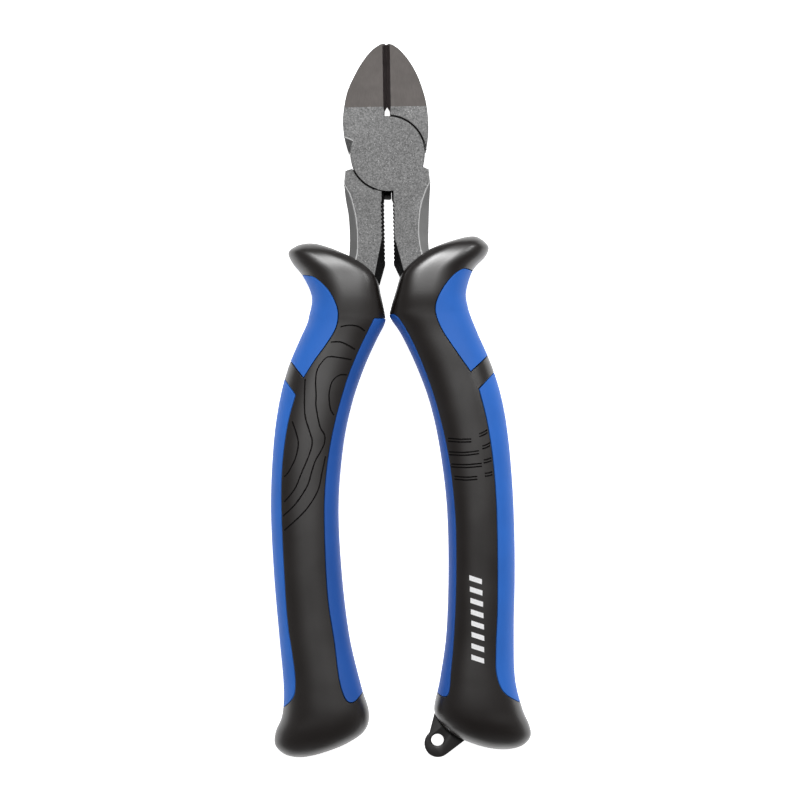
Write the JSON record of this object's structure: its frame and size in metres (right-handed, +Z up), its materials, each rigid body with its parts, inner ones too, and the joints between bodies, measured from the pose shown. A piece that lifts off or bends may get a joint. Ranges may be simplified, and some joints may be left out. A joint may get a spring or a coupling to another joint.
{
  "type": "diagonal cutting pliers",
  "caption": "Diagonal cutting pliers with a lap joint, crimping teeth between the arms, moulded two-colour grips with finger guards, and a lanyard tab.",
  "frame": {"origin": "middle of the footprint on the surface that the closed tool lies on", "axes": "+Y along the tool towards the blades, +Z up through its thickness to the front face, +X to the right seen from the front"},
  "size_m": [0.0718, 0.1998, 0.017],
  "materials": {
    "forged_steel": "blasted grey, ground on the blades",
    "stud_steel": "turned, flush",
    "grip_black": "satin moulded",
    "core_plastic": "hard, matte",
    "pad_blue": "soft, matte"
  },
  "bodies": {
    "back": {"back_half": "forged_steel", "left_core": "core_plastic", "left_body": "grip_black", "left_upper_pad": "pad_blue", "left_lower_pad": "pad_blue", "left_inner_pad": "pad_blue"},
    "front": {"front_half": "forged_steel", "pivot_stud": "stud_steel", "right_core": "core_plastic", "right_body": "grip_black", "right_upper_pad": "pad_blue", "right_lower_pad": "pad_blue", "right_inner_pad": "pad_blue", "lanyard_tab": "core_plastic"}
  },
  "joints": [
    {"name": "pivot", "type": "hinge", "parent": "back", "child": "front", "pos_m": [-0.0014, 0.0689, 0.0085], "axis": [0, 0, 1], "range_deg": [0, 20]}
  ]
}
